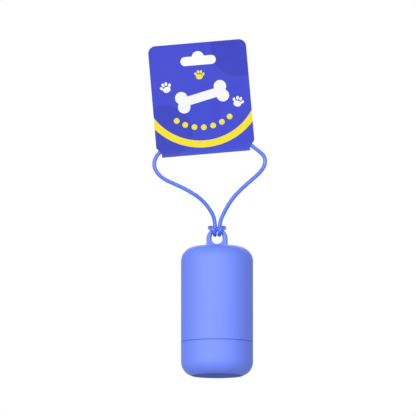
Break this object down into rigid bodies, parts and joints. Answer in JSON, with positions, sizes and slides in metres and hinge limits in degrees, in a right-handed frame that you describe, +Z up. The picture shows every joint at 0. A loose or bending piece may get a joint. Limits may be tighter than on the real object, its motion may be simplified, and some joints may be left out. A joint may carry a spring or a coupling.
{
  "type": "dog poop bag dispenser",
  "caption": "Capsule dispenser for pet waste bags: housing with hanging eye and bag slot, pull-off cap, bag roll on a paper core, cord loop tied with a cow hitch, folded hang card.",
  "frame": {"origin": "top of the peg slot in the hang card, where a shop peg carries everything", "axes": "+Z up, +Y away from the viewer through the card, +X to the viewer's right; everything hangs below the origin along -Z"},
  "size_m": [0.0711, 0.043, 0.2023],
  "materials": {
    "soft_touch_plastic": "soft-touch satin, periwinkle blue",
    "silicone_cord": "smooth silicone, periwinkle blue",
    "printed_card": "printed and matt laminated, blue with yellow",
    "core_board": "plain wound board",
    "bag_film": "thin film, satin blue"
  },
  "bodies": {
    "hanger": {"hang_card": "printed_card", "cord_loop": "silicone_cord", "cord_hitch": "silicone_cord"},
    "housing": {"housing": "soft_touch_plastic"},
    "cap": {"cap": "soft_touch_plastic"},
    "roll": {"roll_core": "core_board", "bag_roll": "bag_film"}
  },
  "joints": [
    {"name": "dispenser_swing", "type": "hinge", "parent": "hanger", "child": "housing", "pos_m": [0.0115, 0, -0.10755], "axis": [1, 0, 0], "range_deg": [-25, 25]},
    {"name": "cap_pull", "type": "slide", "parent": "housing", "child": "cap", "axis": [0, 0, -1], "range_m": [0, 0.07]},
    {"name": "roll_spin", "type": "hinge", "parent": "cap", "child": "roll", "pos_m": [0.0115, 0, -0.163], "axis": [0, 0, 1], "continuous": true}
  ]
}
